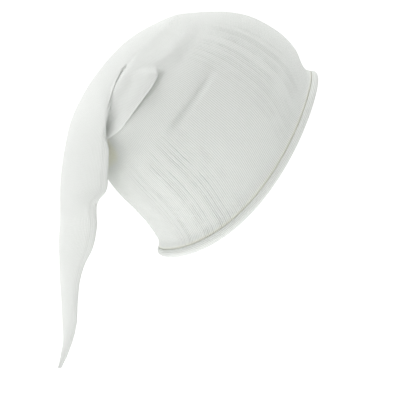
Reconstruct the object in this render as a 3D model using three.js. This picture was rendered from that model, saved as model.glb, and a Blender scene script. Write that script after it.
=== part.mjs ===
// A knitted nightcap, in the form that it takes when worn. The crown is drawn over the head and runs on
// into a long tail, which turns over behind the head and hangs down its back. The lower edge of the
// knitting curls outwards and up into a roll. Both are hollow: the wall is one layer of fine knitting.
//
// Millimetres. +Z is up, +X is the way the wearer faces, +Y is the wearer's left.
// The origin is the centre of the head opening.

import * as THREE from "three";

// Driving dimensions, all measured on the outside of the knitting.
const CROWN_LENGTH = 209; // forehead to back of the head, where the crown is longest
const CROWN_BREADTH = 160; // ear to ear, where the crown is broadest
const CROWN_RISE = 109; // from the opening up to the crease where the tail turns over
const RIM_TILT = THREE.MathUtils.degToRad(48.4); // slope of the opening, higher at the forehead
const RIM_DIP = 23; // how far the rim reaches down over the ears
const RIM_DIP_SETBACK = 16; // of the rim's lowest points from the opening's centre
const RIM_DIP_FADE = 2; // how fast the dip dies away up the crown, as a power
const FOREHEAD_LIFT = 4; // how far the rim is drawn up over the forehead
const FOREHEAD_FADE = 6; // how fast that lift dies away up the crown, as a power
const CREASE_SETBACK = 74; // from the opening's centre line back to the crease
const TURN_REACH = 164; // across the top of the crown, from the crease to its far side
const TAIL_DROP = 203; // from the crease down to the tip
const TAIL_BREADTH = 108; // across the flattened tail, where it leaves the crown
const TAIL_DEPTH = 30; // front to back through the flattened tail
const CREASE_RADIUS = 1.6; // of the hairpin that the knitting makes at the crease
const TAIL_ROUND = 0.65; // how round the tail's sections are on the inner side: 1 for an ellipse
const KNIT = 2; // thickness of the knitting
const THINNEST_HOLLOW = 6; // depth of the thinnest part of the tail that is still hollow
const ROLL_DIAMETER = 9.5; // of the curled lower edge
const ROLL_TURNS = 1.5; // how often the edge is wound round itself
const ROLL_OPEN_TURNS = 0.5; // wound before the curl tightens, and as much again while it does
const ROLL_SET_IN = 1.5; // how far the roll lies in under the crown's edge
const SEAT_GAP = 0.3; // clearance between the crown's lower edge and the roll
const TUCK_DEPTH = 3; // how far the crown's sides drop in behind the tail

// How finely the solids are faceted.
const COLUMNS = 32; // round each section and the rim
const ROLL_STATIONS = 13; // along the curl

// The crown's sections are parallel to the opening. rise is a share of CROWN_RISE; front and back, from
// the middle of the opening, are shares of CROWN_LENGTH; breadth is a share of CROWN_BREADTH.
// steps is the number of rows of facets up to the next section, here and in the tables below.
const CROWN_SECTIONS = [
  { rise: 0.02, front: 0.507, back: 0.491, breadth: 0.945, steps: 2 },
  { rise: 0.12, front: 0.515, back: 0.472, breadth: 0.96, steps: 2 },
  { rise: 0.26, front: 0.545, back: 0.455, breadth: 0.99, steps: 2 },
  { rise: 0.42, front: 0.556, back: 0.445, breadth: 1.0, steps: 2 },
  { rise: 0.58, front: 0.546, back: 0.44, breadth: 0.98, steps: 4 },
  { rise: 0.76, front: 0.518, back: 0.42, breadth: 0.93, steps: 2 },
  { rise: 0.93, front: 0.462, back: 0.376, breadth: 0.85, steps: 3 },
];

// Where the tail turns over, the sections fan out from the crease, and the second and third bow forwards
// along the two big folds. turn is the share of the way from the crown's last section to a level one;
// reach is a share of TURN_REACH; breadth is a share of TAIL_BREADTH; fore and up place the section's two
// sides, from its middle, in shares of TAIL_DEPTH; round is as for TAIL_ROUND.
const TURN_SECTIONS = [
  { turn: 0.0, reach: 1.0, breadth: 1.18, fore: 0.0, up: 0.0, round: 0.85, steps: 8 },
  { turn: 0.035, reach: 0.93, breadth: 1.16, fore: -0.13, up: 0.11, round: 0.8, steps: 5 },
  { turn: 0.085, reach: 0.832, breadth: 1.05, fore: -0.66, up: 0.05, round: 1.1, steps: 6 },
  { turn: 0.165, reach: 0.655, breadth: 1.03, fore: -0.22, up: -0.07, round: 1.1, steps: 3 },
  { turn: 0.235, reach: 0.512, breadth: 1.07, fore: -0.02, up: -0.33, round: 1.0, steps: 2 },
  { turn: 0.354, reach: 0.345, breadth: 1.1, fore: 0.27, up: -0.2, round: 0.65, steps: 2 },
  { turn: 0.62, reach: 0.2, breadth: 1.08, fore: 0.53, up: 0.01, round: 0.6, steps: 2 },
  { turn: 1.0, reach: 0.166, breadth: 1.05, fore: 0.66, up: 0.0, round: 0.6, steps: 1 },
];

// The hanging tail's sections are level. drop is a share of TAIL_DROP below the crease; back, from the
// crease to the section's middle, and depth and fore are shares of TAIL_DEPTH; breadth is a share of
// TAIL_BREADTH.
const TAIL_SECTIONS = [
  { drop: 0.09, back: 0.577, depth: 0.867, breadth: 1.0, fore: 0.7, steps: 2 },
  { drop: 0.172, back: 0.63, depth: 0.87, breadth: 0.98, fore: 0.7, steps: 1 },
  { drop: 0.216, back: 0.652, depth: 0.84, breadth: 0.95, fore: 0.48, steps: 2 },
  { drop: 0.34, back: 0.69, depth: 0.79, breadth: 0.86, fore: 0.49, steps: 1 },
  { drop: 0.44, back: 0.757, depth: 0.74, breadth: 0.77, fore: 0.42, steps: 1 },
  { drop: 0.5, back: 0.82, depth: 0.59, breadth: 0.69, fore: 0.32, steps: 1 },
  { drop: 0.58, back: 0.863, depth: 0.49, breadth: 0.6, fore: 0.22, steps: 1 },
  { drop: 0.68, back: 0.867, depth: 0.4, breadth: 0.5, fore: 0.18, steps: 1 },
  { drop: 0.8, back: 0.87, depth: 0.34, breadth: 0.37, fore: 0.15, steps: 1 },
  { drop: 0.88, back: 0.893, depth: 0.26, breadth: 0.26, fore: 0.05, steps: 1 },
  { drop: 0.94, back: 1.0, depth: 0.183, breadth: 0.15, fore: 0.05, steps: 1 },
  { drop: 1.0, back: 1.12, depth: 0.12, breadth: 0.055, fore: 0.0, steps: 0 },
];

// The main folds. Each runs across the knitting from the crease towards the forehead.
// at: the number of the section that it follows
// lean: how many sections it moves on from one end to the other
// hook: how many sections it turns by as it ends
// start, end: where it lies on its section, as shares of the way from the inner to the outer edge
// rising, dying: the shares over which it deepens and dies away
// valley, crest: how deep it is, and how high the flap on its far side, as shares of TAIL_DEPTH
// slide: how far the flap lies over the valley, as a share of TAIL_DEPTH
// width, steep: of the valley, as a share of TAIL_DEPTH, and how much steeper its far side is
// side: 1 for the wearer's right, -1 for the left, 0 for both
const FOLDS = [
  {
    at: 7.5, lean: 0, hook: 0.3, start: 0.04, end: 0.6, rising: 0.16, dying: 0.07,
    valley: 0.2, crest: 0.2, slide: 0.22, width: 0.16, steep: 1, side: 1,
  },
  {
    at: 9.3, lean: 0, hook: 0, start: 0, end: 0.85, rising: 0.1, dying: 0.45,
    valley: 0.42, crest: 0, slide: 0, width: 0.26, steep: 0.6, side: 0,
  },
  {
    at: 4.6, lean: 0.7, hook: 0, start: 0.32, end: 0.74, rising: 0.12, dying: 0.14,
    valley: 0.16, crest: 0, slide: 0, width: 0.12, steep: 0.8, side: 1,
  },
  {
    at: 8.5, lean: 0, hook: 0, start: 0.6, end: 0.98, rising: 0.15, dying: 0.2,
    valley: 0.08, crest: 0, slide: 0, width: 0.34, steep: 1, side: 1,
  },
  {
    at: 7.8, lean: 0, hook: 0, start: 0.6, end: 0.95, rising: 0.08, dying: 0.2,
    valley: -0.06, crest: 0, slide: 0, width: 0.2, steep: 1, side: 1,
  },
];
const HOOK_START = 2; // how far before its end a fold starts to turn, as a multiple of dying

// Where the flap's crest and slide lie on the valley's far side and how far they spread, in widths.
const CREST = { at: 2, spread: 1.2 };
const SLIDE = { at: 1.5, spread: 0.9 };

// Where the crown's sides are tucked in behind the tail: the section in its middle, how many sections it
// reaches to either side, and how far it reaches from the inner edge, as a share of the section.
const TUCK = { at: 6.8, span: 1.9, share: 0.13, softness: 0.05 };

const VALUES = ["innerX", "innerZ", "outerX", "outerZ", "sideX", "sideZ", "half", "round"];
const HALF_TURN = Math.PI;
const FULL_TURN = 2 * Math.PI;

const clamp01 = (value) => Math.min(1, Math.max(0, value));
const smooth = (low, high, value) => {
  const t = clamp01((value - low) / (high - low));
  return t * t * (3 - 2 * t);
};
const bell = (value) => Math.exp(-value * value);
const flat = (x, z) => new THREE.Vector2(x, z); // a point of the middle plane, as X and Z
const polar = (angle, length) => flat(Math.cos(angle) * length, Math.sin(angle) * length);

// A point of the middle plane from its place in the opening's own frame.
const fromRim = (along, above) => flat(along, above).rotateAround(flat(0, 0), RIM_TILT);

// A section as plain numbers: its inner, outer and side points, half its breadth and how round it is.
function section(inner, outer, offset, breadth, round, steps) {
  const side = inner.clone().lerp(outer, 0.5).add(offset);
  return {
    innerX: inner.x,
    innerZ: inner.y,
    outerX: outer.x,
    outerZ: outer.y,
    sideX: side.x,
    sideZ: side.y,
    half: breadth / 2,
    round,
    steps,
  };
}

function allSections() {
  const crown = CROWN_SECTIONS.map((row) => {
    const above = row.rise * CROWN_RISE;
    const inner = fromRim(-row.back * CROWN_LENGTH, above);
    const lifted = above + FOREHEAD_LIFT * (1 - row.rise) ** FOREHEAD_FADE;
    const outer = fromRim(row.front * CROWN_LENGTH, lifted);
    const fade = (1 - row.rise) ** RIM_DIP_FADE;
    const dip = fromRim(-RIM_DIP_SETBACK, -RIM_DIP).multiplyScalar(fade);
    return section(inner, outer, dip, row.breadth * CROWN_BREADTH, 1, row.steps);
  });
  const crease = fromRim(-CREASE_SETBACK, CROWN_RISE);
  const hinge = crease.clone().sub(flat(CREASE_RADIUS, 0));
  const turn = TURN_SECTIONS.map((row) => {
    const angle = RIM_TILT + row.turn * (HALF_TURN - RIM_TILT);
    const inner = hinge.clone().add(polar(row.turn * HALF_TURN, CREASE_RADIUS));
    const outer = crease.clone().add(polar(angle, row.reach * TURN_REACH));
    const offset = flat(row.fore, row.up).multiplyScalar(TAIL_DEPTH);
    return section(inner, outer, offset, row.breadth * TAIL_BREADTH, row.round, row.steps);
  });
  const tail = TAIL_SECTIONS.map((row) => {
    const middle = crease.clone().sub(flat(row.back * TAIL_DEPTH, row.drop * TAIL_DROP));
    const through = flat((row.depth * TAIL_DEPTH) / 2, 0);
    const inner = middle.clone().add(through);
    const outer = middle.clone().sub(through);
    const offset = flat(row.fore * TAIL_DEPTH, 0);
    return section(inner, outer, offset, row.breadth * TAIL_BREADTH, TAIL_ROUND, row.steps);
  });
  return [...crown, ...turn, ...tail];
}

const SECTIONS = allSections();

// The distance from the rim at which each section lies, measured along the cap's outside and sides.
const DISTANCES = SECTIONS.reduce((list, row, i) => {
  if (i === 0) return [0];
  const last = SECTIONS[i - 1];
  const outside = Math.hypot(row.outerX - last.outerX, row.outerZ - last.outerZ);
  const beside = Math.hypot(row.sideX - last.sideX, row.sideZ - last.sideZ);
  return [...list, list[i - 1] + (outside + beside) / 2];
}, []);

// The slope of one value at a section, from the sections before and after it.
function slope(name, i) {
  const rate = (a, b) => (SECTIONS[b][name] - SECTIONS[a][name]) / (DISTANCES[b] - DISTANCES[a]);
  const last = SECTIONS.length - 1;
  if (i === 0) return rate(0, 1);
  if (i === last) return rate(last - 1, last);
  const before = DISTANCES[i] - DISTANCES[i - 1];
  const after = DISTANCES[i + 1] - DISTANCES[i];
  return (rate(i - 1, i) * after + rate(i, i + 1) * before) / (before + after);
}

// The section at any place along the cap: place 2.5 is halfway between the third and fourth sections.
function sectionAt(place) {
  const i = Math.min(Math.floor(place), SECTIONS.length - 2);
  const t = place - i;
  const span = DISTANCES[i + 1] - DISTANCES[i];
  const found = { distance: DISTANCES[i] + t * span };
  for (const name of VALUES) {
    const a = SECTIONS[i][name];
    const b = SECTIONS[i + 1][name];
    const swing = (1 - t) * t * (slope(name, i) * span * (1 - t) - slope(name, i + 1) * span * t);
    found[name] = a + (b - a) * t * t * (3 - 2 * t) + swing;
  }
  return found;
}

const distanceAt = (place) => {
  const i = Math.min(Math.floor(place), SECTIONS.length - 2);
  return DISTANCES[i] + (place - i) * (DISTANCES[i + 1] - DISTANCES[i]);
};

const powered = (value, power) => Math.sign(value) * Math.abs(value) ** power;

// The cap's outside without its folds. Angle 0 is on the outer edge, a quarter turn the wearer's right.
function plainSkin(place, angle) {
  const s = sectionAt(place);
  const power = 1 - ((1 - s.round) * (1 - Math.cos(angle))) / 2;
  const through = powered(Math.cos(angle), power);
  const across = powered(Math.sin(angle), power);
  const middleX = (s.innerX + s.outerX) / 2;
  const middleZ = (s.innerZ + s.outerZ) / 2;
  const x = middleX + ((s.outerX - s.innerX) / 2) * through + (s.sideX - middleX) * across ** 2;
  const z = middleZ + ((s.outerZ - s.innerZ) / 2) * through + (s.sideZ - middleZ) * across ** 2;
  return new THREE.Vector3(x, -s.half * across, z);
}

// How far the folds and the tuck move a point of the skin, outwards and along the cap.
function folding(place, angle) {
  const share = (1 + Math.cos(angle)) / 2;
  const total = { lift: 0, slide: 0 };
  for (const fold of FOLDS) {
    if (fold.side * Math.sin(angle) < 0) continue;
    const rising = smooth(fold.start, fold.start + fold.rising, share);
    const dying = 1 - smooth(fold.end - fold.dying, fold.end, share);
    const strength = rising * dying * TAIL_DEPTH;
    const turned = fold.hook * smooth(fold.end - HOOK_START * fold.dying, fold.end, share);
    const offset = distanceAt(place) - distanceAt(fold.at + fold.lean * share + turned);
    const t = offset / (fold.width * TAIL_DEPTH);
    const crest = fold.crest * bell((t - CREST.at) / CREST.spread);
    total.lift += strength * (crest - fold.valley * bell(t > 0 ? t * fold.steep : t));
    total.slide -= strength * fold.slide * bell((t - SLIDE.at) / SLIDE.spread);
  }
  const near = 1 - smooth(TUCK.share - TUCK.softness, TUCK.share, share);
  const along = 1 - smooth(0, TUCK.span, Math.abs(place - TUCK.at));
  total.lift -= TUCK_DEPTH * near * along * smooth(0, TUCK.softness, share);
  return total;
}

const STEP = 1e-3; // for slopes of the skin, in sections and radians

// A tangent along the cap and the outward normal at a point of a skin.
function frameAt(skin, place, angle) {
  const low = Math.max(place - STEP, 0);
  const high = Math.min(place + STEP, SECTIONS.length - 1);
  const along = skin(high, angle).sub(skin(low, angle)).normalize();
  const around = skin(place, angle + STEP).sub(skin(place, angle - STEP)).normalize();
  return { along, normal: new THREE.Vector3().crossVectors(along, around).normalize() };
}

// The cap's outside with its folds, which rise and fall sideways.
function outerSkin(place, angle) {
  const { lift, slide } = folding(place, angle);
  const point = plainSkin(place, angle);
  point.y -= Math.sign(Math.sin(angle)) * lift;
  if (slide === 0) return point;
  return point.addScaledVector(frameAt(plainSkin, place, angle).along, slide);
}

// The inside of the knitting, one thickness in from the outside.
function innerSkin(place, angle) {
  const { normal } = frameAt(outerSkin, place, angle);
  return outerSkin(place, angle).addScaledVector(normal, -KNIT);
}

// The places of the rows of facets, from the rim to the tip.
const ROWS = SECTIONS.flatMap((row, i) =>
  Array.from({ length: row.steps }, (_, step) => i + step / row.steps),
);

// Joins rings of points into one closed surface. Each end is a single point or, if the rings close on
// themselves, there is none.
function surface(rings, ends) {
  const points = rings.flat();
  const faces = [];
  const count = rings[0].length;
  const joins = ends ? rings.length - 1 : rings.length;
  for (let r = 0; r < joins; r += 1) {
    const next = (r + 1) % rings.length;
    for (let c = 0; c < count; c += 1) {
      const d = (c + 1) % count;
      const corners = [r * count + c, r * count + d, next * count + d, next * count + c];
      faces.push(corners[0], corners[1], corners[2], corners[0], corners[2], corners[3]);
    }
  }
  if (ends) {
    const last = (rings.length - 1) * count;
    const first = points.push(ends[0]) - 1;
    const final = points.push(ends[1]) - 1;
    for (let c = 0; c < count; c += 1) {
      const d = (c + 1) % count;
      faces.push(first, d, c, final, last + c, last + d);
    }
  }
  const geometry = new THREE.BufferGeometry().setFromPoints(points);
  geometry.setIndex(faces);
  geometry.computeVertexNormals();
  return geometry;
}

const angles = (count) => Array.from({ length: count }, (_, c) => (c * FULL_TURN) / count);
const middleOf = (ring) =>
  ring.reduce((sum, p) => sum.add(p), new THREE.Vector3()).divideScalar(ring.length);

// The crown and tail: the outside from the tip back to the rim, then the inside from the rim to where
// the tail is too thin for a hollow.
function crownAndTail() {
  const outside = ROWS.map((place) => angles(COLUMNS).map((angle) => outerSkin(place, angle)));
  const hollow = ROWS.filter((place) => {
    const s = sectionAt(place);
    return Math.hypot(s.outerX - s.innerX, s.outerZ - s.innerZ) > THINNEST_HOLLOW;
  });
  const inside = hollow.map((place) => angles(COLUMNS).map((angle) => innerSkin(place, angle)));
  const tip = outerSkin(SECTIONS.length - 1, 0).add(outerSkin(SECTIONS.length - 1, HALF_TURN));
  const rings = [...outside.reverse(), ...inside];
  return surface(rings, [tip.divideScalar(2), middleOf(inside.at(-1))]);
}

// The middle of the rolled strip: its distance from the roll's centre, and the angle it has reached.
function rollStations() {
  const radius = (ROLL_DIAMETER - KNIT) / 2;
  const pitch = KNIT + SEAT_GAP;
  return Array.from({ length: ROLL_STATIONS }, (_, i) => {
    const turned = (i / (ROLL_STATIONS - 1)) * ROLL_TURNS;
    const tightened = clamp01(turned / ROLL_OPEN_TURNS - 1);
    const r = radius - pitch * tightened;
    const angle = HALF_TURN + turned * FULL_TURN;
    return { r, angle };
  });
}

// The roll: a strip of knitting that starts under the crown's edge and is wound outwards and up.
function rolledRim() {
  const radius = (ROLL_DIAMETER - KNIT) / 2;
  const stations = rollStations();
  const rings = angles(COLUMNS).map((angle) => {
    const edge = outerSkin(0, angle);
    const { along, normal } = frameAt(outerSkin, 0, angle);
    const at = (out, down) =>
      edge.clone().addScaledVector(normal, out).addScaledVector(along, -down);
    const centre = radius - KNIT / 2 - ROLL_SET_IN;
    const point = ({ r, angle: wound }, side) => {
      const reach = r + (side * KNIT) / 2;
      return at(centre + Math.cos(wound) * reach, radius - Math.sin(wound) * reach);
    };
    const outer = stations.map((s) => point(s, 1));
    const inner = stations.map((s) => point(s, -1)).reverse();
    return [at(-KNIT, SEAT_GAP), ...outer, ...inner, at(0, SEAT_GAP)];
  });
  return surface(rings, null);
}

const knitting = (name, geometry, colour) => {
  const material = new THREE.MeshStandardMaterial({ color: colour, roughness: 0.95, metalness: 0 });
  const mesh = new THREE.Mesh(geometry, material);
  mesh.name = name;
  return mesh;
};

const nightcap = new THREE.Group();
nightcap.add(knitting("crown_and_tail", crownAndTail(), 0xe6e8e4));
nightcap.add(knitting("rolled_rim", rolledRim(), 0xe2e5e0));

export default nightcap;
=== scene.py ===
import math

import bpy
import numpy as np
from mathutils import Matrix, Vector


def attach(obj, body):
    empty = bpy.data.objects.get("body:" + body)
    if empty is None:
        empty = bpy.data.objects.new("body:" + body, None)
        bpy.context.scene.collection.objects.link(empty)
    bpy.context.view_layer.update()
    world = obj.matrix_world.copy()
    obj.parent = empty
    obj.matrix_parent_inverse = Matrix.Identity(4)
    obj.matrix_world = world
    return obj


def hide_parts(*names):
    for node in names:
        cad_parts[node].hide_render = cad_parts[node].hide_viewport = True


# The nightcap's looks: the same knitted surface as the solids, finely meshed, with the knitting's wales
# and courses as relief in the material. Sizes are in millimetres until the meshes are made.

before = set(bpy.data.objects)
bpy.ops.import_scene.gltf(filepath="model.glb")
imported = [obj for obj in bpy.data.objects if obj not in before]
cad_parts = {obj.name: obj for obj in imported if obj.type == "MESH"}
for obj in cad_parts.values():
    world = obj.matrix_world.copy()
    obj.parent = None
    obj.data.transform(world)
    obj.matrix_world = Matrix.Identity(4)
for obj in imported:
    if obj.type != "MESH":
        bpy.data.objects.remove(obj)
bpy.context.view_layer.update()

MM = 0.001

# The camera, placed so that the render lies over the photograph.

CAMERA_AZIMUTH = -8.0  # degrees; the photograph is taken from the wearer's right and a little behind
CAMERA_ELEVATION = 6.0
CAMERA_DISTANCE = 2.0
PIXEL = 0.92 * MM  # one pixel of the photograph, at the object
PICTURE = 400
ORIGIN_AT = (237.0, 163.5)  # where the origin is in the photograph, in pixels

azimuth, elevation = math.radians(CAMERA_AZIMUTH), math.radians(CAMERA_ELEVATION)
level = math.cos(elevation)
view_back = Vector((math.sin(azimuth) * level, -math.cos(azimuth) * level, math.sin(elevation)))
camera_data = bpy.data.cameras.new("camera")
camera = bpy.data.objects.new("camera", camera_data)
bpy.context.scene.collection.objects.link(camera)
camera.location = view_back * CAMERA_DISTANCE
camera.rotation_euler = view_back.to_track_quat("Z", "Y").to_euler()
camera_data.sensor_width = 36.0
camera_data.lens = camera_data.sensor_width * CAMERA_DISTANCE / (PICTURE * PIXEL)
camera_data.shift_x = (PICTURE / 2 - ORIGIN_AT[0]) / PICTURE
camera_data.shift_y = (ORIGIN_AT[1] - PICTURE / 2) / PICTURE
camera_data.clip_end = 50.0
bpy.context.scene.camera = camera

# The sizes of the knitted surface, as in the solids.

CROWN_LENGTH = 209.0
CROWN_BREADTH = 160.0
CROWN_RISE = 109.0
RIM_TILT = math.radians(48.4)
RIM_DIP = 23.0
RIM_DIP_SETBACK = 16.0
RIM_DIP_FADE = 2
FOREHEAD_LIFT = 4.0
FOREHEAD_FADE = 6
CREASE_SETBACK = 74.0
TURN_REACH = 164.0
TAIL_DROP = 203.0
TAIL_BREADTH = 108.0
TAIL_DEPTH = 30.0
CREASE_RADIUS = 1.6
TAIL_ROUND = 0.65
KNIT = 2.0
THINNEST_HOLLOW = 6.0
ROLL_DIAMETER = 9.5
ROLL_TURNS = 1.5
ROLL_OPEN_TURNS = 0.5
ROLL_SET_IN = 1.5
SEAT_GAP = 0.3

# rise, front, back, breadth
CROWN_SECTIONS = [
    (0.02, 0.507, 0.491, 0.945),
    (0.12, 0.515, 0.472, 0.96),
    (0.26, 0.545, 0.455, 0.99),
    (0.42, 0.556, 0.445, 1.0),
    (0.58, 0.546, 0.44, 0.98),
    (0.76, 0.518, 0.42, 0.93),
    (0.93, 0.462, 0.376, 0.85),
]
# turn, reach, breadth, fore, up, round
TURN_SECTIONS = [
    (0.0, 1.0, 1.18, 0.0, 0.0, 0.85),
    (0.035, 0.93, 1.16, -0.13, 0.11, 0.8),
    (0.085, 0.832, 1.05, -0.66, 0.05, 1.1),
    (0.165, 0.655, 1.03, -0.22, -0.07, 1.1),
    (0.235, 0.512, 1.07, -0.02, -0.33, 1.0),
    (0.354, 0.345, 1.1, 0.27, -0.2, 0.65),
    (0.62, 0.2, 1.08, 0.53, 0.01, 0.6),
    (1.0, 0.166, 1.05, 0.66, 0.0, 0.6),
]
# drop, back, depth, breadth, fore
TAIL_SECTIONS = [
    (0.09, 0.577, 0.867, 1.0, 0.7),
    (0.172, 0.63, 0.87, 0.98, 0.7),
    (0.216, 0.652, 0.84, 0.95, 0.48),
    (0.34, 0.69, 0.79, 0.86, 0.49),
    (0.44, 0.757, 0.74, 0.77, 0.42),
    (0.5, 0.82, 0.59, 0.69, 0.32),
    (0.58, 0.863, 0.49, 0.6, 0.22),
    (0.68, 0.867, 0.4, 0.5, 0.18),
    (0.8, 0.87, 0.34, 0.37, 0.15),
    (0.88, 0.893, 0.26, 0.26, 0.05),
    (0.94, 1.0, 0.183, 0.15, 0.05),
    (1.0, 1.12, 0.12, 0.055, 0.0),
]
# at, lean, hook, start, end, rising, dying, valley, steep, crest, slide, width, side
FOLDS = [
    (7.5, 0.0, 0.3, 0.04, 0.6, 0.16, 0.07, 0.2, 1.0, 0.2, 0.22, 0.16, 1),
    (9.3, 0.0, 0.0, 0.0, 0.85, 0.1, 0.45, 0.42, 0.6, 0.0, 0.0, 0.26, 0),
    (4.6, 0.7, 0.0, 0.32, 0.74, 0.12, 0.14, 0.16, 0.8, 0.0, 0.0, 0.12, 1),
    (8.5, 0.0, 0.0, 0.6, 0.98, 0.15, 0.2, 0.08, 1.0, 0.0, 0.0, 0.34, 1),
    (7.8, 0.0, 0.0, 0.6, 0.95, 0.08, 0.2, -0.06, 1.0, 0.0, 0.0, 0.2, 1),
]
HOOK_START = 2.0  # how far before its end a fold starts to turn, as a multiple of dying
CREST_AT, CREST_SPREAD = 2.0, 1.2  # of the flap's crest on the valley's far side, in widths
SLIDE_AT, SLIDE_SPREAD = 1.5, 0.9  # of the flap's slide over the valley, in widths

# The tuck where the crown's side drops in behind the tail.
TUCK_AT = 6.8
TUCK_SPAN = 1.9
TUCK_SHARE = 0.13
TUCK_SOFTNESS = 0.05
TUCK_DEPTH = 3.0

FOLD_SHADING = 0.35  # how much shallower than it is a fold is shaded


def smooth(low, high, value):
    t = np.clip((value - low) / (high - low), 0.0, 1.0)
    return t * t * (3 - 2 * t)


def from_rim(along, above):
    c, s = math.cos(RIM_TILT), math.sin(RIM_TILT)
    return np.array([along * c - above * s, along * s + above * c])


def polar(angle, length):
    return np.array([math.cos(angle) * length, math.sin(angle) * length])


def section(inner, outer, offset, breadth, roundness):
    side = (inner + outer) / 2 + offset
    return [*inner, *outer, *side, breadth / 2, roundness]


def all_sections():
    rows = []
    for rise, front, back, breadth in CROWN_SECTIONS:
        inner = from_rim(-back * CROWN_LENGTH, rise * CROWN_RISE)
        lifted = rise * CROWN_RISE + FOREHEAD_LIFT * (1 - rise) ** FOREHEAD_FADE
        outer = from_rim(front * CROWN_LENGTH, lifted)
        dip = from_rim(-RIM_DIP_SETBACK, -RIM_DIP) * (1 - rise) ** RIM_DIP_FADE
        rows.append(section(inner, outer, dip, breadth * CROWN_BREADTH, 1.0))
    crease = from_rim(-CREASE_SETBACK, CROWN_RISE)
    hinge = crease - np.array([CREASE_RADIUS, 0.0])
    for turn, reach, breadth, fore, up, roundness in TURN_SECTIONS:
        angle = RIM_TILT + turn * (math.pi - RIM_TILT)
        inner = hinge + polar(turn * math.pi, CREASE_RADIUS)
        outer = crease + polar(angle, reach * TURN_REACH)
        offset = np.array([fore, up]) * TAIL_DEPTH
        rows.append(section(inner, outer, offset, breadth * TAIL_BREADTH, roundness))
    for drop, back, depth, breadth, fore in TAIL_SECTIONS:
        middle = crease - np.array([back * TAIL_DEPTH, drop * TAIL_DROP])
        through = np.array([depth * TAIL_DEPTH / 2, 0.0])
        inner, outer = middle + through, middle - through
        offset = np.array([fore * TAIL_DEPTH, 0.0])
        rows.append(section(inner, outer, offset, breadth * TAIL_BREADTH, TAIL_ROUND))
    return np.array(rows)


SECTIONS = all_sections()
LAST = len(SECTIONS) - 1
gaps = (
    np.hypot(*(np.diff(SECTIONS[:, 2:4], axis=0).T)) + np.hypot(*(np.diff(SECTIONS[:, 4:6], axis=0).T))
) / 2
DISTANCES = np.concatenate([[0.0], np.cumsum(gaps)])


def section_slopes():
    rates = np.diff(SECTIONS, axis=0) / gaps[:, None]
    before, after = gaps[:-1, None], gaps[1:, None]
    middle = (rates[:-1] * after + rates[1:] * before) / (before + after)
    return np.vstack([rates[:1], middle, rates[-1:]])


SLOPES = section_slopes()


def section_at(place):
    i = np.minimum(np.floor(place).astype(int), LAST - 1)
    t = (place - i)[..., None]
    span = gaps[i][..., None]
    a, b = SECTIONS[i], SECTIONS[i + 1]
    swing = (1 - t) * t * (SLOPES[i] * span * (1 - t) - SLOPES[i + 1] * span * t)
    return a + (b - a) * t * t * (3 - 2 * t) + swing


def distance_at(place):
    i = np.minimum(np.floor(place).astype(int), LAST - 1)
    return DISTANCES[i] + (place - i) * gaps[i]


def powered(value, power):
    return np.sign(value) * np.abs(value) ** power


def plain_skin(place, angle):
    s = section_at(place)
    power = 1 - (1 - s[..., 7]) * (1 - np.cos(angle)) / 2
    through = powered(np.cos(angle), power)
    across = powered(np.sin(angle), power)
    middle_x = (s[..., 0] + s[..., 2]) / 2
    middle_z = (s[..., 1] + s[..., 3]) / 2
    x = middle_x + (s[..., 2] - s[..., 0]) / 2 * through + (s[..., 4] - middle_x) * across**2
    z = middle_z + (s[..., 3] - s[..., 1]) / 2 * through + (s[..., 5] - middle_z) * across**2
    return np.stack([x, -s[..., 6] * across, z], -1)


def bell(value):
    return np.exp(-value * value)


def folding(place, angle):
    """How far a point lies out and along from the plain skin, and how deeply the folds shade it."""
    share = (1 + np.cos(angle)) / 2
    lift = np.zeros_like(share)
    slide = np.zeros_like(share)
    depth = np.zeros_like(share)
    for at, lean, hook, start, end, rising, dying, valley, steep, crest, shift, width, side in FOLDS:
        strength = smooth(start, start + rising, share) * (1 - smooth(end - dying, end, share))
        strength = np.where(side * np.sin(angle) < 0, 0.0, strength * TAIL_DEPTH)
        centre = at + lean * share + hook * smooth(end - HOOK_START * dying, end, share)
        t = (distance_at(place) - distance_at(centre)) / (width * TAIL_DEPTH)
        sunk = strength * valley * bell(np.where(t > 0, steep, 1.0) * t)
        lift += strength * crest * bell((t - CREST_AT) / CREST_SPREAD) - sunk
        slide -= strength * shift * bell((t - SLIDE_AT) / SLIDE_SPREAD)
        depth += np.maximum(sunk, 0.0)
    near = 1 - smooth(TUCK_SHARE - TUCK_SOFTNESS, TUCK_SHARE, share)
    tucked = 1 - smooth(0.0, TUCK_SPAN, np.abs(place - TUCK_AT))
    sunk = TUCK_DEPTH * near * tucked * smooth(0.0, TUCK_SOFTNESS, share)
    return lift - sunk, slide, FOLD_SHADING * depth


STEP = 1e-3


def unit(v):
    return v / np.maximum(np.linalg.norm(v, axis=-1, keepdims=True), 1e-12)


def along_at(skin, place, angle):
    low, high = np.maximum(place - STEP, 0.0), np.minimum(place + STEP, LAST)
    return unit(skin(high, angle) - skin(low, angle))


def normal_at(skin, place, angle):
    around = unit(skin(place, angle + STEP) - skin(place, angle - STEP))
    return unit(np.cross(along_at(skin, place, angle), around))


def outer_skin(place, angle):
    lift, slide, _ = folding(place, angle)
    point = plain_skin(place, angle)
    point[..., 1] -= np.sign(np.sin(angle)) * lift
    return point + along_at(plain_skin, place, angle) * slide[..., None]


def inner_skin(place, angle):
    return outer_skin(place, angle) - KNIT * normal_at(outer_skin, place, angle)


# The meshes.

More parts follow.
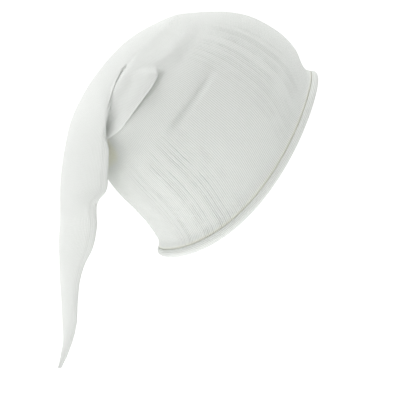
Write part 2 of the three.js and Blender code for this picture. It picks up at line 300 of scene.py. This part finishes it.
COLUMNS = 288  # round each section
ROLL_COLUMNS = 320  # round the rim
ROLL_STATIONS = 40  # along the curl
ROW_LENGTH = 2.0  # of the outside's rows of faces, in millimetres
INSIDE_ROW_LENGTH = 4.4
FLARE = 2.6  # how far the crown's edge flares out on to the roll, in millimetres
FLARE_SPAN = 0.5  # and how far up that begins, in sections
RIM_SHADE = 6.0  # the shade beside the roll, as if it were a fold of this depth
RIM_SHADE_SPAN = 0.4  # how far that shade reaches from the rim, in sections
RIM_SHADE_REACH = 4.5  # and how far over the roll, in millimetres
RECESS_SHADE = 7.0  # the same for the recess where the crown's side lies behind the tail
RECESS_AT = 6.4  # the section in its middle, and from where to where it fades, in sections
RECESS_FADE = (0.7, 1.4)
RECESS_SHARE = (0.07, 0.13)  # and from where to where it fades towards the outer edge
FINE_ROWS = {7: 36, 8: 30, 9: 24, 10: 8, 11: 8}  # rows of faces from a section on, at the folds


def row_places(fine):
    places = []
    for i in range(LAST):
        count = FINE_ROWS.get(i) if fine else None
        count = count or max(2, round(gaps[i] / (ROW_LENGTH if fine else INSIDE_ROW_LENGTH)))
        places.extend(i + np.arange(count) / count)
    return np.array(places + [float(LAST)])


def mesh_object(name, points, quads, caps, layers):
    mesh = bpy.data.meshes.new(name)
    mesh.from_pydata([tuple(p) for p in np.asarray(points) * MM], [], [tuple(f) for f in quads] + caps)
    for layer, values in layers.items():
        attribute = mesh.attributes.new(layer, "FLOAT", "POINT")
        attribute.data.foreach_set("value", np.asarray(values, dtype=np.float32))
    mesh.shade_smooth()
    mesh.update()
    thing = bpy.data.objects.new(name, mesh)
    bpy.context.scene.collection.objects.link(thing)
    return thing


def ring_quads(rings, count, closed=False):
    r = np.arange(rings if closed else rings - 1)[:, None]
    c = np.arange(count)[None, :]
    d = (c + 1) % count
    n = (r + 1) % rings
    quads = np.stack([r * count + c, r * count + d, n * count + d, n * count + c], -1)
    return quads.reshape(-1, 4).tolist()


def share_of_girth(rings):
    """Each point's way round its ring, from the outer edge to either side, and the ring's girth."""
    steps = np.linalg.norm(np.roll(rings, -1, axis=1) - rings, axis=-1)
    girth = steps.sum(axis=1, keepdims=True)
    passed = (np.cumsum(steps, axis=1) - steps) / girth
    return np.minimum(passed, 1 - passed), np.repeat(girth, rings.shape[1], axis=1)


def crown_and_tail():
    angles = np.arange(COLUMNS) * 2 * math.pi / COLUMNS
    places = row_places(True)
    grid_place, grid_angle = np.meshgrid(places, angles, indexing="ij")
    flare = FLARE * (1 - smooth(0.0, FLARE_SPAN, grid_place))[..., None]
    outside = outer_skin(grid_place, grid_angle)
    outside += flare * normal_at(outer_skin, grid_place, grid_angle)
    coarse = row_places(False)
    across = section_at(coarse)[:, 2:4] - section_at(coarse)[:, 0:2]
    coarse = coarse[np.hypot(*across.T) > THINNEST_HOLLOW]
    in_place, in_angle = np.meshgrid(coarse, angles, indexing="ij")
    inside = inner_skin(in_place, in_angle)

    def courses(points):
        steps = np.linalg.norm(np.diff(points, axis=0), axis=-1)
        return np.vstack([np.zeros(points.shape[1]), np.cumsum(steps, axis=0)])

    rings = np.concatenate([outside[::-1], inside])
    length = np.concatenate([courses(outside)[::-1], courses(inside)])
    place = np.concatenate([grid_place[::-1], in_place])
    angle = np.concatenate([grid_angle[::-1], in_angle])
    inner = np.concatenate([np.zeros_like(grid_place), np.ones_like(in_place)])
    around, girth = share_of_girth(rings)

    tip = rings[0].mean(axis=0)
    bottom = rings[-1].mean(axis=0)
    points = np.vstack([rings.reshape(-1, 3), tip, bottom])
    total = len(rings) * COLUMNS
    quads = ring_quads(len(rings), COLUMNS)
    last = total - COLUMNS
    caps = []
    for c in range(COLUMNS):
        d = (c + 1) % COLUMNS
        caps.append((total, d, c))
        caps.append((total + 1, last + c, last + d))

    def layer(values):
        flat = values.reshape(-1)
        return np.concatenate([flat, [values[0].mean()], [values[-1].mean()]])

    share = (1 + np.cos(angle)) / 2
    beside_roll = RIM_SHADE * (1 - smooth(0.0, RIM_SHADE_SPAN, place))
    recess = RECESS_SHADE * (1 - smooth(*RECESS_SHARE, share))
    recess *= 1 - smooth(*RECESS_FADE, np.abs(place - RECESS_AT))
    layers = {
        "length": layer(length),
        "place": layer(place),
        "around": layer(around),
        "girth": layer(girth),
        "inside": layer(inner),
        "fold_depth": layer((folding(place, angle)[2] + beside_roll + recess) * (1 - inner)),
    }
    return mesh_object("knitted_crown_and_tail", points, quads, caps, layers)


def rolled_rim():
    radius = (ROLL_DIAMETER - KNIT) / 2
    pitch = KNIT + SEAT_GAP
    turned = np.linspace(0, ROLL_TURNS, ROLL_STATIONS)
    reach = radius - pitch * np.clip(turned / ROLL_OPEN_TURNS - 1, 0, 1)
    wound = math.pi + turned * 2 * math.pi
    centre = radius - KNIT / 2 - ROLL_SET_IN

    def outline(side):
        r = reach + side * KNIT / 2
        return np.stack([centre + np.cos(wound) * r, radius - np.sin(wound) * r], -1)

    flat = np.vstack([[-KNIT, SEAT_GAP], outline(1), outline(-1)[::-1], [0.0, SEAT_GAP]])
    angles = np.arange(ROLL_COLUMNS) * 2 * math.pi / ROLL_COLUMNS
    place = np.zeros(ROLL_COLUMNS)
    edge = outer_skin(place, angles)
    along = along_at(outer_skin, place, angles)
    normal = normal_at(outer_skin, place, angles)
    rings = (
        edge[:, None]
        + normal[:, None] * flat[None, :, 0, None]
        - along[:, None] * flat[None, :, 1, None]
    )
    count = len(flat)
    travel = np.concatenate([[0.0], np.cumsum(np.linalg.norm(np.diff(flat, axis=0), axis=-1))])
    around, girth = share_of_girth(edge[None])
    shade = RIM_SHADE * (1 - smooth(0.0, RIM_SHADE_REACH, np.linalg.norm(flat, axis=-1)))
    layers = {
        "length": np.tile(travel, ROLL_COLUMNS),
        "around": np.repeat(around[0], count),
        "girth": np.repeat(girth[0], count),
        "place": np.zeros(ROLL_COLUMNS * count),
        "inside": np.ones(ROLL_COLUMNS * count),
        "fold_depth": np.tile(shade, ROLL_COLUMNS),
    }
    quads = ring_quads(ROLL_COLUMNS, count, True)
    return mesh_object("rolled_edge", rings.reshape(-1, 3), quads, [], layers)


body = crown_and_tail()
roll = rolled_rim()

# The knitting. Wales are the columns of stitches from rim to tail, courses the rows round the cap.

WALES = 322.0  # round the crown
NARROWINGS = (400.0, 300.0, 220.0, 160.0, 115.0, 80.0)  # girths at which wales are dropped
KEPT = 0.72  # the share of the wales that goes on past each narrowing
COURSE = 1.5  # height of a stitch, in millimetres
RELIEF = 0.9 * MM
RELIEF_STRENGTH = 0.6
LEGS, DOME = 0.5, 0.6  # heights of a stitch's two legs and of the whole wale, as shares of the relief
SLANT = 0.6  # how far a leg rises on its way out, in courses
LEG_RIPPLE = 0.25  # how much lower a leg is between two courses

# Where wales are pulled apart into darker lines: from and to round the cap, from and to along it.
LADDERS = [
    (0.05, 0.2, 0.0, 7.2),
    (0.27, 0.44, -1.0, 5.4),
]
LADDER_ENDS = (0.04, 1.4)  # how softly they begin and end, round the cap and along it
LADDER_PICK = (0.15, 0.7)  # the draw from which a wale's line shows, and shows in full
LADDER_SHARPNESS = 1.5
LADDER_DEPTH = 1.6
LADDER_SHADE = 0.22

# The scale, detail and size of each kind of noise.
LADDER_BREAKS = (60.0, 2.0, 1.0)
FLUFF = (1400.0, 2.0, 0.5)
UNEVENNESS = (110.0, 3.0, 1.2)
BLOTCHES = (26.0, 3.0, 0.12)
ROUGHENING = (300.0, 2.0, 0.12)

# The shade between stitches, which open where the knitting is stretched over the head.
CROWN_GAPS, TAIL_GAPS = 0.9, 0.4
GAPS_FADE = (5.0, 7.5)  # from the crown to the tail, in sections
NAPE_GAPS = 0.45  # the share of that shade which is left at the nape
NAPE_FADE = (0.36, 0.44)  # from the side to the nape, as shares of the way round the cap
GAP_HEIGHT = 0.6  # the height from which a stitch isn't shaded

WHITE = (0.9, 0.92, 0.89)
STITCH_SHADE = (0.58, 0.62, 0.57)
FOLD_SHADE = (0.96, 0.94, 0.68)
FOLD_SHADE_FADE = (2.0, 9.0)  # the depth at which a fold's shade begins, and at which it is full
FOLD_SHADE_SHARE = 0.6
ROUGHNESS = 0.93
SHEEN, SHEEN_ROUGHNESS = 0.4, 0.5
SPECULAR = 0.2


class Nodes:
    """Short ways to add nodes to a material's tree."""

    def __init__(self, material):
        self.tree = material.node_tree
        self.shader = self.tree.nodes["Principled BSDF"]

    def put(self, socket, value):
        if isinstance(value, (int, float, tuple)):
            socket.default_value = value
        else:
            self.tree.links.new(value, socket)

    def maths(self, operation, *values):
        node = self.tree.nodes.new("ShaderNodeMath")
        node.operation = operation
        for socket, value in zip(node.inputs, values):
            self.put(socket, value)
        return node.outputs["Value"]

    def layer(self, name):
        node = self.tree.nodes.new("ShaderNodeAttribute")
        node.attribute_name = name
        return node.outputs["Fac"]

    def ramp(self, value, low, high, start=0.0, end=1.0):
        node = self.tree.nodes.new("ShaderNodeMapRange")
        node.interpolation_type = "SMOOTHSTEP"
        for name, given in (("Value", value), ("From Min", low), ("From Max", high)):
            self.put(node.inputs[name], given)
        self.put(node.inputs["To Min"], start)
        self.put(node.inputs["To Max"], end)
        return node.outputs["Result"]

    def window(self, value, start, end, soft):
        rising = self.ramp(value, start, start + soft)
        return self.maths("MULTIPLY", rising, self.ramp(value, end - soft, end, 1.0, 0.0))

    def noise(self, scale, detail, size):
        place = self.tree.nodes.new("ShaderNodeTexCoord")
        node = self.tree.nodes.new("ShaderNodeTexNoise")
        node.inputs["Scale"].default_value = scale
        node.inputs["Detail"].default_value = detail
        self.tree.links.new(place.outputs["Object"], node.inputs["Vector"])
        return self.maths("MULTIPLY", self.maths("SUBTRACT", node.outputs["Fac"], 0.5), size)

    def mix(self, share, first, second):
        node = self.tree.nodes.new("ShaderNodeMix")
        node.data_type = "RGBA"
        self.put(node.inputs["Factor"], share)
        for socket, colour in ((node.inputs[6], first), (node.inputs[7], second)):
            self.put(socket, (*colour, 1.0) if isinstance(colour, tuple) else colour)
        return node.outputs[2]


def stitches(nodes):
    """The wale and course that a point lies in, counted from the outer edge and from the tip."""
    girth = nodes.layer("girth")
    passed = nodes.maths("LESS_THAN", girth, NARROWINGS[0])
    for narrowing in NARROWINGS[1:]:
        passed = nodes.maths("ADD", passed, nodes.maths("LESS_THAN", girth, narrowing))
    wales = nodes.maths("MULTIPLY", nodes.maths("POWER", KEPT, passed), WALES)
    wale = nodes.maths("MULTIPLY", nodes.layer("around"), wales)
    return wale, nodes.maths("DIVIDE", nodes.layer("length"), COURSE)


def stocking_stitch(nodes, wale, course):
    """The height of the right side of the knitting: columns of V-shaped stitches."""
    from_middle = nodes.maths("PINGPONG", nodes.maths("MULTIPLY", wale, 2.0), 1.0)
    legs = nodes.maths("SINE", nodes.maths("MULTIPLY", from_middle, math.pi))
    legs = nodes.maths("MULTIPLY_ADD", legs, LEGS, nodes.maths("MULTIPLY", from_middle, DOME))
    slant = nodes.maths("ADD", course, nodes.maths("MULTIPLY", from_middle, SLANT))
    rows = nodes.maths("COSINE", nodes.maths("MULTIPLY", slant, 2 * math.pi))
    rows = nodes.maths("MULTIPLY_ADD", rows, LEG_RIPPLE, 1 - LEG_RIPPLE)
    return nodes.maths("MULTIPLY", legs, rows)


def purl_stitch(nodes, wale, course):
    """The height of the wrong side: rows of small arcs, each row half a wale on from the last."""
    row = nodes.maths("FLOOR", course)
    moved = nodes.maths("ADD", wale, nodes.maths("MULTIPLY", row, 0.5))
    arcs = nodes.maths("PINGPONG", nodes.maths("MULTIPLY", moved, 2.0), 1.0)
    rows = nodes.maths("SINE", nodes.maths("MULTIPLY", nodes.maths("FRACT", course), math.pi))
    return nodes.maths("MULTIPLY", rows, nodes.maths("MULTIPLY_ADD", arcs, 0.5, 0.5))


def ladders(nodes, wale):
    """How far the wales at a point are pulled apart: irregular lines, in two places on each side."""
    pick = nodes.tree.nodes.new("ShaderNodeTexWhiteNoise")
    pick.noise_dimensions = "1D"
    nodes.put(pick.inputs["W"], nodes.maths("FLOOR", nodes.maths("ADD", wale, 0.5)))
    chosen = nodes.ramp(pick.outputs["Value"], *LADDER_PICK)
    edge = nodes.maths("PINGPONG", nodes.maths("MULTIPLY", wale, 2.0), 1.0)
    line = nodes.maths("POWER", nodes.maths("SUBTRACT", 1.0, edge), LADDER_SHARPNESS)
    around, place = nodes.layer("around"), nodes.layer("place")
    soft_around, soft_along = LADDER_ENDS
    total = None
    for start, end, low, high in LADDERS:
        across = nodes.window(around, start, end, soft_around)
        zone = nodes.maths("MULTIPLY", across, nodes.window(place, low, high, soft_along))
        total = zone if total is None else nodes.maths("MAXIMUM", total, zone)
    broken = nodes.ramp(nodes.noise(*LADDER_BREAKS), -0.25, 0.1)
    lines = nodes.maths("MULTIPLY", line, chosen)
    return nodes.maths("MULTIPLY", nodes.maths("MULTIPLY", total, broken), lines)


def knit_material(name):
    material = bpy.data.materials.new(name)
    material.use_nodes = True
    nodes = Nodes(material)
    wale, course = stitches(nodes)
    inside = nodes.layer("inside")
    outside = nodes.maths("SUBTRACT", 1.0, inside)
    right_side = nodes.maths("MULTIPLY", stocking_stitch(nodes, wale, course), outside)
    wrong_side = nodes.maths("MULTIPLY", purl_stitch(nodes, wale, course), inside)
    knitting = nodes.maths("ADD", right_side, wrong_side)
    pulled = nodes.maths("MULTIPLY", ladders(nodes, wale), outside)
    fluff = nodes.noise(*FLUFF)
    unevenness = nodes.noise(*UNEVENNESS)
    height = nodes.maths("ADD", knitting, nodes.maths("ADD", fluff, unevenness))
    height = nodes.maths("SUBTRACT", height, nodes.maths("MULTIPLY", pulled, LADDER_DEPTH))

    bump = nodes.tree.nodes.new("ShaderNodeBump")
    bump.inputs["Strength"].default_value = RELIEF_STRENGTH
    bump.inputs["Distance"].default_value = RELIEF
    nodes.put(bump.inputs["Height"], height)
    nodes.put(nodes.shader.inputs["Normal"], bump.outputs["Normal"])

    gaps_along = nodes.ramp(nodes.layer("place"), *GAPS_FADE, CROWN_GAPS, TAIL_GAPS)
    gaps_around = nodes.ramp(nodes.layer("around"), *NAPE_FADE, 1.0, NAPE_GAPS)
    gap_shade = nodes.maths("MULTIPLY", gaps_along, gaps_around)
    between = nodes.maths("MULTIPLY", nodes.ramp(knitting, 0.0, GAP_HEIGHT, 1.0, 0.0), gap_shade)
    shade = nodes.maths("ADD", between, nodes.maths("MULTIPLY", pulled, LADDER_SHADE))
    shade = nodes.maths("ADD", shade, nodes.noise(*BLOTCHES))
    shade = nodes.maths("MAXIMUM", shade, 0.0)
    deep = nodes.ramp(nodes.layer("fold_depth"), *FOLD_SHADE_FADE, 0.0, FOLD_SHADE_SHARE)
    tint = nodes.mix(deep, nodes.mix(shade, WHITE, STITCH_SHADE), FOLD_SHADE)
    nodes.put(nodes.shader.inputs["Base Color"], tint)
    roughness = nodes.maths("ADD", nodes.noise(*ROUGHENING), ROUGHNESS)
    nodes.put(nodes.shader.inputs["Roughness"], roughness)
    nodes.shader.inputs["Sheen Weight"].default_value = SHEEN
    nodes.shader.inputs["Sheen Roughness"].default_value = SHEEN_ROUGHNESS
    nodes.shader.inputs["Specular IOR Level"].default_value = SPECULAR
    return material


body.data.materials.append(knit_material("knitting"))
roll.data.materials.append(knit_material("curled_knitting"))

# The stage and the light: a pale floor that sweeps up behind, in metres.

FLOOR_LEVEL = -0.42
FLOOR_REACH = 12.0  # to either side and in front
FLOOR_BACK = 2.0  # where it starts to sweep up
SWEEP_RADIUS = 1.5
WALL_HEIGHT = 5.0
FLOOR_GLOW = 0.42
SKY_FRONT, SKY_BACK = 0.47, 0.85  # the strength of the light from all round

bpy.context.scene.view_settings.view_transform = "Standard"


def stage_piece(name, profile):
    points = [(x, y, z) for x in (-FLOOR_REACH, FLOOR_REACH) for y, z in profile]
    n = len(profile)
    mesh = bpy.data.meshes.new(name)
    mesh.from_pydata(points, [], [(i, i + 1, n + i + 1, n + i) for i in range(n - 1)])
    mesh.shade_smooth()
    thing = bpy.data.objects.new(name, mesh)
    bpy.context.scene.collection.objects.link(thing)
    material = bpy.data.materials.new(name)
    material.use_nodes = True
    shader = material.node_tree.nodes["Principled BSDF"]
    shader.inputs["Base Color"].default_value = (0.9, 0.9, 0.9, 1.0)
    shader.inputs["Roughness"].default_value = 0.9
    shader.inputs["Emission Color"].default_value = (1.0, 1.0, 1.0, 1.0)
    shader.inputs["Emission Strength"].default_value = FLOOR_GLOW
    mesh.materials.append(material)
    return thing


sweep = [(-FLOOR_REACH, 0.0), (FLOOR_BACK, 0.0)]
for bend in np.linspace(0.1, math.pi / 2, 14):
    sweep.append((FLOOR_BACK + SWEEP_RADIUS * math.sin(bend), SWEEP_RADIUS * (1 - math.cos(bend))))
sweep.append((FLOOR_BACK + SWEEP_RADIUS, WALL_HEIGHT))
floor = stage_piece("floor", sweep)
floor.location.z = FLOOR_LEVEL

world = bpy.data.worlds.new("studio")
world.use_nodes = True
tree = world.node_tree
sky = tree.nodes["Background"]
sky.inputs["Color"].default_value = (1.0, 1.0, 1.0, 1.0)
direction = tree.nodes.new("ShaderNodeTexCoord")
parts = tree.nodes.new("ShaderNodeSeparateXYZ")
grade = tree.nodes.new("ShaderNodeMapRange")
grade.inputs["From Min"].default_value = -1.0
grade.inputs["To Min"].default_value = SKY_FRONT
grade.inputs["To Max"].default_value = SKY_BACK
tree.links.new(direction.outputs["Generated"], parts.inputs["Vector"])
tree.links.new(parts.outputs["Y"], grade.inputs["Value"])
tree.links.new(grade.outputs["Result"], sky.inputs["Strength"])
bpy.context.scene.world = world


def area_light(name, place, size, power):
    data = bpy.data.lights.new(name, "AREA")
    data.shape = "DISK"
    data.size = size
    data.energy = power
    light = bpy.data.objects.new(name, data)
    light.location = place
    light.rotation_euler = Vector(place).to_track_quat("Z", "Y").to_euler()
    bpy.context.scene.collection.objects.link(light)


# Each light's place and size in metres, and its power in watts.
area_light("key", (-0.4, 0.2, 2.0), 1.6, 21.5)
area_light("fill", (1.2, -1.8, 0.8), 1.4, 1.5)
area_light("side", (-1.9, 0.3, 0.3), 1.6, 3.5)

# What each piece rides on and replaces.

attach(body, "root")
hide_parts("crown_and_tail")
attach(roll, "root")
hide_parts("rolled_rim")
